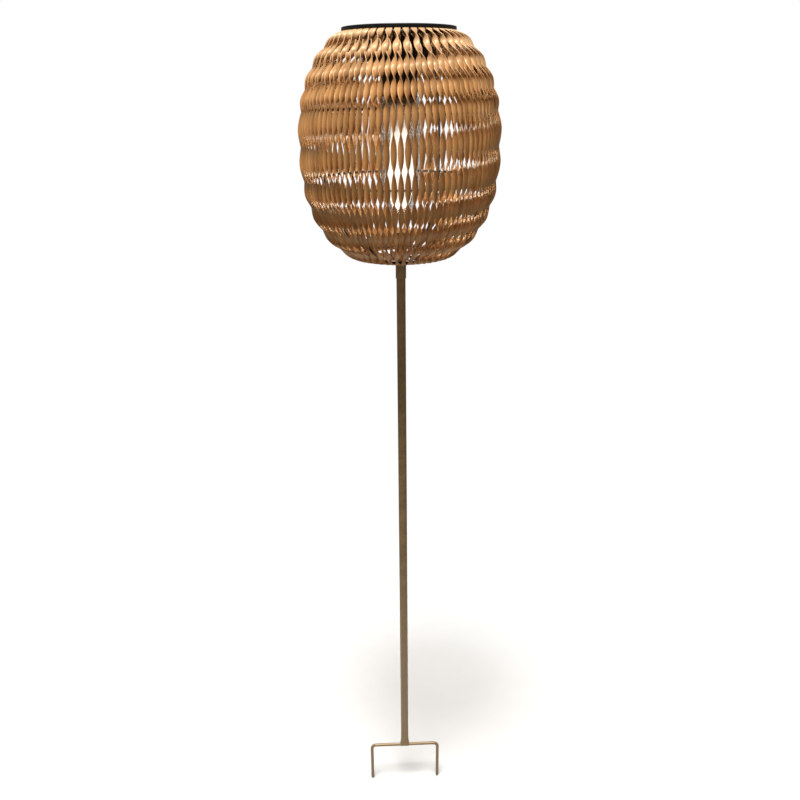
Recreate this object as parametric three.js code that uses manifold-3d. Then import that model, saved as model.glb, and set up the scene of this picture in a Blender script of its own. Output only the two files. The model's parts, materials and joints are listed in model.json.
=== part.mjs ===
// Solar garden torch: a barrel lantern of rattan-look strips, with a solar lamp in its top, on a steel pole
// that ends in a two-prong ground fork. Millimetres, +Z up. The origin is on the pole's axis at ground level,
// under the fork's crossbar, and the crossbar runs along X.

import * as THREE from 'three';
import { mergeVertices } from 'three/addons/utils/BufferGeometryUtils.js';
import Module from 'manifold-3d';

const wasm = await Module();
wasm.setup();

// ---- Driving dimensions ----

const gap = 0.3; // clearance between pieces that touch

const fork = { wireRadius: 2.5, halfWidth: 54.5, bendRadius: 7, depth: 67.5 };
const pole = { radius: 6, bore: 5, top: 847.5, footRadius: 7.15, flareHeight: 14.5 };
const weld = { length: 7.5, thickness: 2.6, height: 2.4, outset: 3.3, sink: 0.9 };

const strip = { thickness: 1.3, width: 7, settle: 10, bottomWrap: 2.1, topWrap: 2.3 }; // wraps in radians
const shade = {
  bellyZ: 958,
  bellyRadius: 121.2,
  upper: { height: 144.4, power: 2.3 },
  lower: { height: 147.2, power: 2.5 },
  topZ: 1083,
  upperHoopZ: 996,
  lowerHoopZ: 914.5,
  bottomZ: 818.5,
  panels: 12,
};
const hoop = { wireRadius: 1.5, facets: 24 };
const rib = { count: 4, firstAngle: -120, hubZ: 819, spokeRadius: 28 }; // angle in degrees from +X
const sleeve = { radius: 6.85, bottom: 790, capThickness: 2 };

const lid = { radius: 68, height: 4.4, floor: 2, edgeRound: 1.8, recessRadius: 61, leadHole: 4 };
const skirt = { radius: 64.5, wall: 2, drop: 6 };
const bevel = 0.8; // on moulded edges and screw heads
const cell = { side: 80, thickness: 0.8 };
const coverProud = 0.4; // the solar window stands this much above the lid's rim
const can = { radius: 22, wall: 2, bottom: 1013, flangeThickness: 2.5, ledHole: 3.4 };
const shroud = { radius: 44, wall: 2, bottom: 1052 }; // wall that hangs from the flange's edge, round the screws
const spigot = { radius: 18, wall: 1.5, length: 8 };
const seal = { inner: 23.3, outer: 25, thickness: 1, groove: 1.2 };
const globeSealThickness = 0.7;
const screw = { count: 3, circle: 28.5, firstAngle: 30, shank: 1.45, point: 0.75, slot: 0.8 };
const screwHead = { radius: 2.8, height: 2 };
const globe = { topRadius: 24, shoulderRadius: 25.2, shoulderDrop: 18, bellyRadius: 27, bellyTop: 965 };
const globeEnd = { top: 925, bottom: 868 };
const globeWall = 1.6;
const globeNeck = 6; // length of the thick neck
const diffuser = { neck: 11, neckZ: 970, waist: 13.4, waistZ: 950, belly: 17, bellyZ: 922, bottom: 876 };
const diffuserWall = 1.2;
const diffuserFlange = { radius: 16.2, thickness: 2.5 };
const board = { x: 4, thickness: 1.6, halfWidth: 16, bottom: 1022, top: 1070 };
const battery = { x: -5, radius: 7.1, bottom: 1026, top: 1074.5, nubRadius: 2.7, nubHeight: 1.3 };
const holder = { inner: 7.5, outer: 8.7, openingHalfAngle: 50, bottom: 1031, top: 1063 };
const contact = { thickness: 0.4, width: 7, reach: 9, leg: 8, lift: 3.6 }; // lift is above the LED's board
const spring = { wireRadius: 0.35, bottomRadius: 4.5, topRadius: 2.5, turns: 3 };
const ledBoard = { radius: 15, thickness: 1.2 };
const led = { radius: 2.5, flange: 2.9, length: 7.6, flangeHeight: 1 };
const lead = { radius: 0.6, spread: 6 };
const slider = { halfWidth: 1.6, height: 3, reach: 24.2, travel: 3, bottom: 1041.5, slotClearance: 0.4 };
const slideSwitch = { depth: 4.5, halfWidth: 4.5, bottom: 1040, top: 1049 };

// ---- Values worked out from them ----

const stripOffset = strip.thickness / 2; // half a strip each side of the shade's outline
const hoopOffset = stripOffset + 1.5 * gap + hoop.wireRadius; // the hoops lie inside the strips
const ribOffset = hoopOffset + 2 * hoop.wireRadius + gap; // and the ribs inside the hoops
const wrapInner = hoopOffset - stripOffset; // the strips' ends turn round the top and bottom hoops
const wrapOuter = wrapInner + strip.thickness;
const rimTop = barrelPoint(shade.topZ, -hoopOffset).y + wrapOuter;
const lidBottom = rimTop + gap;
const lidTop = lidBottom + lid.height;
const lidFloorTop = lidBottom + lid.floor;
const cellBottom = lidFloorTop + gap;
const cellTop = cellBottom + cell.thickness;
const canTop = lidBottom - gap;
const canFloorTop = can.bottom + can.wall;
const globeTop = can.bottom - 2 * gap - globeSealThickness;
const ledBoardBottom = canFloorTop + gap;
const ledBoardTop = ledBoardBottom + ledBoard.thickness;
const boardMiddleX = board.x + board.thickness / 2;
const topContactZ = battery.top + battery.nubHeight + gap + contact.thickness; // the tongues' outer faces
const bottomContactZ = ledBoardTop + contact.lift;

// ---- Materials ----

function finish(color, roughness, metalness, extra = {}) {
  return new THREE.MeshStandardMaterial({ color, roughness, metalness, ...extra });
}

const bronzePaint = () => finish(0x69563c, 0.42, 0.35);
const framePaint = () => finish(0x33261b, 0.45, 0.35);
const rattan = () => finish(0xc39a68, 0.62, 0);
const blackPlastic = () => finish(0x16171a, 0.38, 0);
const clearPlastic = () => finish(0xe9edf0, 0.08, 0, { transparent: true, opacity: 0.35 });
const blackRubber = () => finish(0x202022, 0.85, 0);
const platedSteel = () => finish(0xb9bcc0, 0.3, 1);
const greenBoard = () => finish(0x1d5a36, 0.5, 0);

// ---- Shape helpers ----

/** Radius of the strips' centre line at height z: two superellipse halves that meet at the belly. */
function barrelRadius(z) {
  const half = z > shade.bellyZ ? shade.upper : shade.lower;
  const t = Math.abs(z - shade.bellyZ) / half.height;
  return shade.bellyRadius * (1 - t ** half.power) ** (1 / half.power);
}

/** Outward unit normal of the shade's outline at height z, as (radius, height). */
function barrelNormal(z) {
  const h = 0.01;
  const slope = (barrelRadius(z + h) - barrelRadius(z - h)) / (2 * h);
  return new THREE.Vector2(1, -slope).normalize();
}

/** Point of the outline at height z, moved outward by offset: x is the radius, y the height. */
function barrelPoint(z, offset) {
  return barrelNormal(z).multiplyScalar(offset).add(new THREE.Vector2(barrelRadius(z), z));
}

/** Heights from the bottom hoop to the top one, at every hoop and closer together near both ends. */
function shadeHeights(endSteps, middleSteps) {
  const { bottomZ, lowerHoopZ, upperHoopZ, topZ } = shade;
  const eased = (i) => 1 - Math.cos((Math.PI * i) / (2 * endSteps));
  const steps = (count, heightAt) => Array.from({ length: count }, (_, i) => heightAt(i));
  return [
    ...steps(endSteps, (i) => bottomZ + (lowerHoopZ - bottomZ) * eased(i)),
    ...steps(middleSteps, (i) => lowerHoopZ + ((upperHoopZ - lowerHoopZ) * i) / middleSteps),
    ...steps(endSteps + 1, (i) => topZ - (topZ - upperHoopZ) * eased(endSteps - i)),
  ];
}

function arcPoints(centre, radius, from, to, count) {
  return Array.from({ length: count + 1 }, (_, i) => {
    const angle = from + ((to - from) * i) / count;
    return new THREE.Vector2(centre.x + radius * Math.cos(angle), centre.y + radius * Math.sin(angle));
  });
}

function vectors(pairs) {
  return pairs.map(([radius, z]) => new THREE.Vector2(radius, z));
}

/** Solid turned about Z from an anticlockwise outline of (radius, height). A ring's outline is closed. */
function turned(outline, segments) {
  const points = [...outline];
  const first = points[0];
  if (first.x > 0) points.push(first.clone());
  return new THREE.LatheGeometry(points, segments).rotateX(Math.PI / 2);
}

/** Round bar along a curve. */
function wire(curve, radius, steps, sides = 8) {
  const circle = arcPoints(new THREE.Vector2(), radius, 0, 2 * Math.PI, sides).slice(0, -1);
  const section = new THREE.Shape(circle);
  return new THREE.ExtrudeGeometry(section, { steps, extrudePath: curve, bevelEnabled: false });
}

function ring(centre, wireRadius) {
  return new THREE.TorusGeometry(centre.x, wireRadius, 6, hoop.facets).translate(0, 0, centre.y);
}

/** Box given by its lowest and highest corners. */
function block(low, high) {
  const size = high.map((value, i) => value - low[i]);
  const middle = high.map((value, i) => (value + low[i]) / 2);
  return new THREE.BoxGeometry(...size).translate(...middle);
}

/** Upright cylinder between two heights. */
function post(radius, bottom, top, segments, x = 0, y = 0) {
  const geometry = new THREE.CylinderGeometry(radius, radius, top - bottom, segments);
  return geometry.rotateX(Math.PI / 2).translate(x, y, (bottom + top) / 2);
}

/** Flat outline in (x, z), pushed from -halfDepth to +halfDepth along Y. */
function plateAcrossY(points, halfDepth) {
  const shape = new THREE.Shape(vectors(points));
  const geometry = new THREE.ExtrudeGeometry(shape, { depth: 2 * halfDepth, bevelEnabled: false });
  return geometry.rotateX(Math.PI / 2).translate(0, halfDepth, 0);
}

function toSolid(geometry) {
  const bare = geometry.clone();
  bare.deleteAttribute('normal');
  bare.deleteAttribute('uv');
  const merged = mergeVertices(bare, 1e-4);
  const corners = merged.index.array;
  const kept = [];
  for (let i = 0; i < corners.length; i += 3) {
    const [a, b, c] = [corners[i], corners[i + 1], corners[i + 2]];
    if (a !== b && b !== c && c !== a) kept.push(a, b, c);
  }
  const vertProperties = new Float32Array(merged.attributes.position.array);
  return new wasm.Manifold(new wasm.Mesh({ numProp: 3, vertProperties, triVerts: new Uint32Array(kept) }));
}

function toGeometry(solid) {
  const mesh = solid.getMesh();
  const geometry = new THREE.BufferGeometry();
  geometry.setAttribute('position', new THREE.BufferAttribute(new Float32Array(mesh.vertProperties), 3));
  geometry.setIndex(new THREE.BufferAttribute(new Uint32Array(mesh.triVerts), 1));
  geometry.computeVertexNormals();
  return geometry;
}

function cut(geometry, ...tools) {
  return toGeometry(tools.reduce((solid, tool) => solid.subtract(toSolid(tool)), toSolid(geometry)));
}

function join(...geometries) {
  return toGeometry(geometries.map(toSolid).reduce((all, next) => all.add(next)));
}

const group = new THREE.Group();

function addPart(name, geometry, material, angle = 0) {
  const mesh = new THREE.Mesh(geometry, material);
  mesh.name = name;
  mesh.rotation.z = THREE.MathUtils.degToRad(angle);
  group.add(mesh);
}

// ---- Stake: pole, fork and welds ----

function poleTube() {
  const foot = 2 * fork.wireRadius + gap;
  const wall = pole.radius - pole.bore;
  return turned(
    vectors([
      [pole.footRadius - wall, foot],
      [pole.footRadius, foot],
      [pole.radius, foot + pole.flareHeight],
      [pole.radius, pole.top],
      [pole.bore, pole.top],
      [pole.bore, foot + pole.flareHeight],
    ]),
    24,
  );
}

/** One bent wire: prong, crossbar, prong, with rounded tips. */
function forkWire() {
  const { halfWidth, bendRadius, wireRadius, depth } = fork;
  const tip = -depth + wireRadius;
  const path = new THREE.CurvePath();
  const at = (x, z) => new THREE.Vector3(x, 0, z);
  const bend = (side) => {
    const corner = at(side * halfWidth, wireRadius);
    const down = at(side * halfWidth, wireRadius - bendRadius);
    const inward = at(side * (halfWidth - bendRadius), wireRadius);
    return { down, corner, inward };
  };
  const left = bend(-1);
  const right = bend(1);
  path.add(new THREE.LineCurve3(at(-halfWidth, tip), left.down));
  path.add(new THREE.QuadraticBezierCurve3(left.down, left.corner, left.inward));
  path.add(new THREE.LineCurve3(left.inward, right.inward));
  path.add(new THREE.QuadraticBezierCurve3(right.inward, right.corner, right.down));
  path.add(new THREE.LineCurve3(right.down, at(halfWidth, tip)));
  const tips = [-1, 1].map((side) => {
    return new THREE.SphereGeometry(wireRadius, 8, 6).rotateX(Math.PI / 2).translate(side * halfWidth, 0, tip);
  });
  return join(wire(path, wireRadius, 48), ...tips);
}

/** Fillet weld between the pole's foot and the crossbar, on the side of +Y (1) or -Y (-1). */
function footWeld(side) {
  const top = 2 * fork.wireRadius;
  const bead = new THREE.SphereGeometry(1, 12, 8)
    .scale(weld.length, weld.thickness, weld.height)
    .translate(0, side * weld.outset, top - weld.sink);
  const bar = post(fork.wireRadius + gap, -weld.length - 1, weld.length + 1, 12)
    .rotateY(Math.PI / 2)
    .translate(0, 0, fork.wireRadius);
  const foot = post(pole.footRadius + gap, top, top + 6, 24);
  return cut(bead, bar, foot);
}

// ---- Shade: hoops, ribs, socket and strips ----

function hoopAt(z) {
  return ring(barrelPoint(z, -hoopOffset), hoop.wireRadius);
}

/** Rib that follows the inside of the hoops and then runs in under the shade to the socket. */
function ribWire() {
  const arch = shadeHeights(3, 2).reverse().map((z) => barrelPoint(z, -ribOffset));
  const inner = new THREE.Vector2(sleeve.radius + gap, rib.hubZ);
  const middle = new THREE.Vector2(rib.spokeRadius, rib.hubZ);
  const points = [...arch, middle, inner].map((p) => new THREE.Vector3(p.x, 0, p.y));
  return wire(new THREE.CatmullRomCurve3(points), hoop.wireRadius, 22, 6);
}

function socketSleeve() {
  const bore = pole.radius + gap;
  const boreTop = pole.top + gap;
  return turned(
    vectors([
      [bore, sleeve.bottom],
      [sleeve.radius, sleeve.bottom],
      [sleeve.radius, boreTop + sleeve.capThickness],
      [0, boreTop + sleeve.capThickness],
      [0, boreTop],
      [bore, boreTop],
    ]),
    24,
  );
}

/** How far the twisted strips stand out: flat against the end hoops, their half width beyond. */
function stripReach(z) {
  const toHoop = Math.min(z - shade.bottomZ, shade.topZ - z);
  return THREE.MathUtils.lerp(stripOffset, strip.width / 2, Math.min(1, toHoop / strip.settle));
}

/** Section of the strips through the axis: the barrel wall, with both ends turned round their hoops. */
function panelSection() {
  const heights = shadeHeights(4, 2).slice(1, -1);
  const bottomHoop = barrelPoint(shade.bottomZ, -hoopOffset);
  const topHoop = barrelPoint(shade.topZ, -hoopOffset);
  const bottomAngle = barrelNormal(shade.bottomZ).angle() - 2 * Math.PI;
  const topAngle = barrelNormal(shade.topZ).angle();
  const bottomEnd = bottomAngle - strip.bottomWrap;
  const topEnd = topAngle + strip.topWrap;
  const outer = heights.map((z) => barrelPoint(z, stripReach(z)));
  const inner = heights.map((z) => barrelPoint(z, -stripOffset));
  return [
    ...arcPoints(bottomHoop, wrapOuter, bottomEnd, bottomAngle, 3),
    ...outer,
    ...arcPoints(topHoop, wrapOuter, topAngle, topEnd, 3),
    ...arcPoints(topHoop, wrapInner, topEnd, topAngle, 3),
    ...inner.reverse(),
    ...arcPoints(bottomHoop, wrapInner, bottomAngle, bottomEnd, 3),
  ];
}

/** Solid swept from an outline of (radius, height) through part of a turn about Z, with flat ends. */
function sector(outline, halfAngle, steps) {
  const count = outline.length;
  const positions = [];
  const index = [];
  for (let k = 0; k <= steps; k++) {
    const angle = halfAngle * ((2 * k) / steps - 1);
    outline.forEach((p) => positions.push(p.x * Math.cos(angle), p.x * Math.sin(angle), p.y));
  }
  for (let k = 0; k < steps; k++) {
    for (let i = 0; i < count; i++) {
      const [a, b] = [k * count + i, k * count + ((i + 1) % count)];
      index.push(a, a + count, b, b, a + count, b + count);
    }
  }
  const end = steps * count;
  for (const [a, b, c] of THREE.ShapeUtils.triangulateShape(outline, [])) {
    index.push(a, b, c, end + a, end + c, end + b);
  }
  const geometry = new THREE.BufferGeometry();
  geometry.setAttribute('position', new THREE.Float32BufferAttribute(positions, 3));
  geometry.setIndex(index);
  geometry.computeVertexNormals();
  return geometry;
}

/** One twelfth of the strips: eight of them side by side, as one curved panel. */
function stripPanel() {
  const seam = gap / shade.bellyRadius;
  return sector(panelSection(), Math.PI / shade.panels - seam, 2);
}

// ---- Lamp: lid, can, electronics and globe ----

function screwPlaces(geometryAt) {
  return Array.from({ length: screw.count }, (_, i) => {
    const angle = THREE.MathUtils.degToRad(screw.firstAngle + (360 / screw.count) * i);
    return geometryAt(screw.circle * Math.cos(angle), screw.circle * Math.sin(angle));
  });
}

/** Dished lid: flange on the rim, floor with a lead hole, and a skirt that centres it in the top hoop. */
function lidFrame() {
  const skirtInner = skirt.radius - skirt.wall;
  const skirtBottom = lidBottom - skirt.drop;
  const edge = new THREE.Vector2(lid.radius - lid.edgeRound, lidTop - lid.edgeRound);
  const body = turned(
    [
      ...vectors([
        [lid.leadHole, lidBottom],
        [skirtInner, lidBottom],
        [skirtInner, skirtBottom],
        [skirt.radius, skirtBottom],
        [skirt.radius, lidBottom],
        [lid.radius - bevel, lidBottom],
        [lid.radius, lidBottom + bevel],
      ]),
      ...arcPoints(edge, lid.edgeRound, 0, Math.PI / 2, 4),
      ...vectors([
        [lid.recessRadius, lidTop],
        [lid.recessRadius, lidFloorTop],
        [lid.leadHole, lidFloorTop],
      ]),
    ],
    36,
  );
  const holes = screwPlaces((x, y) => post(screw.shank + gap, lidBottom - 1, lidFloorTop + 1, 12, x, y));
  return cut(body, ...holes);
}

function cellCover() {
  const radius = lid.recessRadius - gap;
  const top = lidTop + coverProud;
  return turned(
    vectors([
      [0, cellTop + gap],
      [radius, cellTop + gap],
      [radius, top - bevel],
      [radius - bevel, top],
      [0, top],
    ]),
    36,
  );
}

function solarCell() {
  const half = cell.side / 2;
  return block([-half, -half, cellBottom], [half, half, cellTop]);
}

function lidSeal() {
  const top = canTop + 0.1;
  return turned(
    vectors([
      [seal.inner, top - seal.thickness],
      [seal.outer, top - seal.thickness],
      [seal.outer, top],
      [seal.inner, top],
    ]),
    24,
  );
}

/** Can: shrouded flange with a seal groove on top, the globe's spigot below, and a slot for the switch. */
function electronicsCan() {
  const inner = can.radius - can.wall;
  const flangeBottom = canTop - can.flangeThickness;
  const grooveFloor = canTop - seal.groove;
  const spigotInner = spigot.radius - spigot.wall;
  const spigotBottom = can.bottom - spigot.length;
  const body = turned(
    vectors([
      [can.ledHole, can.bottom],
      [spigotInner, can.bottom],
      [spigotInner, spigotBottom],
      [spigot.radius, spigotBottom],
      [spigot.radius, can.bottom],
      [can.radius - bevel, can.bottom],
      [can.radius, can.bottom + bevel],
      [can.radius, flangeBottom],
      [shroud.radius - shroud.wall, flangeBottom],
      [shroud.radius - shroud.wall, shroud.bottom],
      [shroud.radius, shroud.bottom],
      [shroud.radius, canTop],
      [seal.outer + gap, canTop],
      [seal.outer + gap, grooveFloor],
      [seal.inner - gap, grooveFloor],
      [seal.inner - gap, canTop],
      [inner, canTop],
      [inner, canFloorTop],
      [can.ledHole, canFloorTop],
    ]),
    28,
  );
  const holes = screwPlaces((x, y) => post(screw.shank + gap, flangeBottom - 1, canTop + 1, 12, x, y));
  const reach = slider.halfWidth + slider.slotClearance;
  const slotTop = slider.bottom + slider.height + slider.travel + slider.slotClearance;
  const slotBottom = slider.bottom - slider.slotClearance;
  const slot = block([inner - 3, -reach, slotBottom], [can.radius + 3, reach, slotTop]);
  return cut(body, slot, ...holes);
}

/** Pan-head screw with a slotted head, driven upward through the can's flange into the lid. */
function lidScrew() {
  const headTop = canTop - can.flangeThickness - gap;
  const headBottom = headTop - screwHead.height;
  const body = turned(
    vectors([
      [0, headBottom],
      [screwHead.radius - bevel, headBottom],
      [screwHead.radius, headBottom + bevel],
      [screwHead.radius, headTop],
      [screw.shank, headTop],
      [screw.shank, lidFloorTop - 1],
      [screw.point, lidFloorTop - gap],
      [0, lidFloorTop - gap],
    ]),
    12,
  );
  const reach = screwHead.radius + 1;
  const slot = block([-reach, -screw.slot / 2, headBottom - 1], [reach, screw.slot / 2, headBottom + bevel]);
  return cut(body, slot).translate(screw.circle, 0, 0);
}

/** Clear jar: a thick neck round the spigot, a nearly straight belly and a round end. */
function bulbGlobe() {
  const { topRadius, shoulderRadius, shoulderDrop, bellyRadius, bellyTop } = globe;
  const neckInner = spigot.radius + 1.5 * gap;
  const depth = globeEnd.top - globeEnd.bottom;
  const roundEnd = (inset) =>
    arcPoints(new THREE.Vector2(), 1, -Math.PI / 2, 0, 6).map((p, i) => {
      const radius = i === 0 ? 0 : p.x * (bellyRadius - inset);
      return new THREE.Vector2(radius, globeEnd.top + p.y * (depth - inset));
    });
  const shoulder = vectors([
    [bellyRadius, bellyTop],
    [shoulderRadius, globeTop - shoulderDrop],
    [topRadius, globeTop],
    [neckInner, globeTop],
    [neckInner, globeTop - globeNeck],
    [shoulderRadius - globeWall, globeTop - shoulderDrop],
    [bellyRadius - globeWall, bellyTop],
  ]);
  return turned([...roundEnd(0), ...shoulder, ...roundEnd(globeWall).reverse()], 24);
}

function globeSeal() {
  const bottom = globeTop + gap;
  const top = can.bottom - gap;
  return turned(
    vectors([
      [spigot.radius + gap, bottom],
      [globe.topRadius - bevel, bottom],
      [globe.topRadius - bevel, top],
      [spigot.radius + gap, top],
    ]),
    24,
  );
}

/** White pear-shaped diffuser, open at the top for the LED. */
function lightDiffuser() {
  const { neck, neckZ, waist, waistZ, belly, bellyZ, bottom } = diffuser;
  const top = can.bottom - gap;
  const flangeBottom = top - diffuserFlange.thickness;
  const pear = (inset) =>
    new THREE.SplineCurve(
      vectors([
        [0, bottom + inset],
        [0.72 * belly - inset, bottom + 12 + inset / 2],
        [belly - inset, bellyZ],
        [waist - inset, waistZ],
        [neck - inset, neckZ],
      ]),
    ).getPoints(9);
  const collar = vectors([
    [neck, flangeBottom],
    [diffuserFlange.radius, flangeBottom],
    [diffuserFlange.radius, top],
    [neck - diffuserWall, top],
  ]);
  return turned([...pear(0), ...collar, ...pear(diffuserWall).reverse()], 20);
}

function ledLamp() {
  const top = canFloorTop;
  const tip = top - led.length;
  return turned(
    [
      new THREE.Vector2(0, tip),
      ...arcPoints(new THREE.Vector2(0, tip + led.radius), led.radius, -Math.PI / 2, 0, 5).slice(1),
      ...vectors([
        [led.radius, top - led.flangeHeight],
        [led.flange, top - led.flangeHeight],
        [led.flange, top],
        [0, top],
      ]),
    ],
    12,
  );
}

function batteryCell() {
  return turned(
    vectors([
      [0, battery.bottom],
      [battery.radius, battery.bottom],
      [battery.radius, battery.top - bevel],
      [battery.radius - bevel, battery.top],
      [battery.nubRadius, battery.top],
      [battery.nubRadius, battery.top + battery.nubHeight],
      [0, battery.top + battery.nubHeight],
    ]),
    20,
  ).translate(battery.x, 0, 0);
}

/** C-shaped clip that holds the battery against the circuit board. */
function batteryHolder() {
  const open = THREE.MathUtils.degToRad(180 - holder.openingHalfAngle);
  const centre = new THREE.Vector2(battery.x, 0);
  const outline = [
    ...arcPoints(centre, holder.outer, -open, open, 14),
    ...arcPoints(centre, holder.inner, open, -open, 14),
  ];
  const depth = holder.top - holder.bottom;
  const clip = new THREE.ExtrudeGeometry(new THREE.Shape(outline), { depth, bevelEnabled: false });
  return clip.translate(0, 0, holder.bottom);
}

/** Bent contact strip: a tongue across the battery's end and a leg soldered to the board. */
function batteryContact(tongueZ, legDirection) {
  const x = board.x - gap;
  const { thickness, reach, leg, width } = contact;
  const outline = [
    [x, tongueZ],
    [x, tongueZ + legDirection * leg],
    [x - thickness, tongueZ + legDirection * leg],
    [x - thickness, tongueZ + legDirection * thickness],
    [-reach, tongueZ + legDirection * thickness],
    [-reach, tongueZ],
  ];
  return plateAcrossY(legDirection > 0 ? outline : outline.reverse(), width / 2);
}

/** Conical contact spring under the battery. */
function batterySpring() {
  const { wireRadius, bottomRadius, topRadius, turns } = spring;
  const bottom = bottomContactZ + contact.thickness + gap + wireRadius;
  const top = battery.bottom - gap - wireRadius;
  const points = Array.from({ length: turns * 8 + 1 }, (_, i) => {
    const t = i / (turns * 8);
    const angle = 2 * Math.PI * turns * t;
    const radius = THREE.MathUtils.lerp(bottomRadius, topRadius, t);
    const z = THREE.MathUtils.lerp(bottom, top, t);
    return new THREE.Vector3(battery.x + radius * Math.cos(angle), radius * Math.sin(angle), z);
  });
  return wire(new THREE.CatmullRomCurve3(points), wireRadius, turns * 9, 6);
}

/** Wire from the solar cell, down through the lid's hole, to the circuit board's top edge. */
function solarLead(side) {
  const points = [
    [0, 2, cellBottom - gap],
    [1.5, 3.5, lidBottom - 3],
    [boardMiddleX, lead.spread, board.top + 6],
    [boardMiddleX, lead.spread, board.top + gap],
  ].map(([x, y, z]) => new THREE.Vector3(x, side * y, z));
  return wire(new THREE.CatmullRomCurve3(points), lead.radius, 10, 6);
}

function ledLead(side) {
  return post(lead.radius, ledBoardTop + gap, board.bottom - gap, 8, boardMiddleX, side * lead.spread);
}

/** Slide switch on the board, and its knob, which reaches out through the can's slot. */
function switchBody() {
  const x = board.x + board.thickness + gap;
  const { depth, halfWidth, bottom, top } = slideSwitch;
  return block([x, -halfWidth, bottom], [x + depth, halfWidth, top]);
}

function switchKnob() {
  const start = board.x + board.thickness + slideSwitch.depth + 2 * gap;
  const { reach, bottom, height, halfWidth } = slider;
  const top = bottom + height;
  const grip = reach - bevel;
  return plateAcrossY(
    [
      [start, bottom],
      [grip, bottom],
      [reach, bottom + bevel],
      [reach - bevel / 2, (bottom + top) / 2],
      [reach, top - bevel],
      [grip, top],
      [start, top],
    ],
    halfWidth,
  );
}

// ---- Assembly ----

function addStake() {
  addPart('pole_tube', poleTube(), bronzePaint());
  addPart('ground_fork', forkWire(), bronzePaint());
  addPart('foot_weld_front', footWeld(-1), bronzePaint());
  addPart('foot_weld_rear', footWeld(1), bronzePaint());
}

function addShade() {
  addPart('top_hoop', hoopAt(shade.topZ), framePaint());
  addPart('upper_hoop', hoopAt(shade.upperHoopZ), framePaint());
  addPart('lower_hoop', hoopAt(shade.lowerHoopZ), framePaint());
  addPart('bottom_hoop', hoopAt(shade.bottomZ), framePaint());
  addPart('socket_sleeve', socketSleeve(), bronzePaint());
  for (let i = 0; i < rib.count; i++) {
    addPart(`frame_rib_${i + 1}`, ribWire(), framePaint(), rib.firstAngle + (360 / rib.count) * i);
  }
  for (let i = 0; i < shade.panels; i++) {
    const number = String(i + 1).padStart(2, '0');
    addPart(`strip_panel_${number}`, stripPanel(), rattan(), (360 / shade.panels) * (i + 0.5));
  }
}

function addLamp() {
  addPart('lid_frame', lidFrame(), blackPlastic());
  addPart('cell_cover', cellCover(), clearPlastic());
  addPart('solar_cell', solarCell(), finish(0x10182c, 0.25, 0.2));
  addPart('lid_seal', lidSeal(), blackRubber());
  addPart('electronics_can', electronicsCan(), blackPlastic());
  for (let i = 0; i < screw.count; i++) {
    addPart(`lid_screw_${i + 1}`, lidScrew(), platedSteel(), screw.firstAngle + (360 / screw.count) * i);
  }
  addPart('globe_seal', globeSeal(), blackRubber());
  addPart('bulb_globe', bulbGlobe(), clearPlastic());
  addPart('light_diffuser', lightDiffuser(), finish(0xf4f2ec, 0.5, 0, { emissive: 0x66583f }));
}

function addElectronics() {
  const boardLow = [board.x, -board.halfWidth, board.bottom];
  const boardHigh = [board.x + board.thickness, board.halfWidth, board.top];
  addPart('circuit_board', block(boardLow, boardHigh), greenBoard());
  addPart('battery_holder', batteryHolder(), blackPlastic());
  addPart('battery', batteryCell(), finish(0x2f7a4d, 0.35, 0.1));
  addPart('battery_contact_top', batteryContact(topContactZ, -1), platedSteel());
  addPart('battery_contact_bottom', batteryContact(bottomContactZ, 1), platedSteel());
  addPart('battery_spring', batterySpring(), platedSteel());
  addPart('led_board', post(ledBoard.radius, ledBoardBottom, ledBoardTop, 24), greenBoard());
  addPart('led', ledLamp(), finish(0xfff4dc, 0.15, 0, { emissive: 0xffd9a0 }));
  addPart('led_lead_red', ledLead(1), finish(0xa8201c, 0.5, 0));
  addPart('led_lead_black', ledLead(-1), finish(0x1a1a1a, 0.5, 0));
  addPart('solar_lead_red', solarLead(1), finish(0xa8201c, 0.5, 0));
  addPart('solar_lead_black', solarLead(-1), finish(0x1a1a1a, 0.5, 0));
  addPart('switch_body', switchBody(), platedSteel());
  addPart('switch_knob', switchKnob(), blackPlastic());
}

addStake();
addShade();
addLamp();
addElectronics();

export default group;
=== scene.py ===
"""Solar garden torch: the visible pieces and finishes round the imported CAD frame. Metres, +Z up."""

import json
import random
from math import atan2, cos, pi, radians, sin

import bpy
import numpy as np
from mathutils import Matrix, Vector


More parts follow.
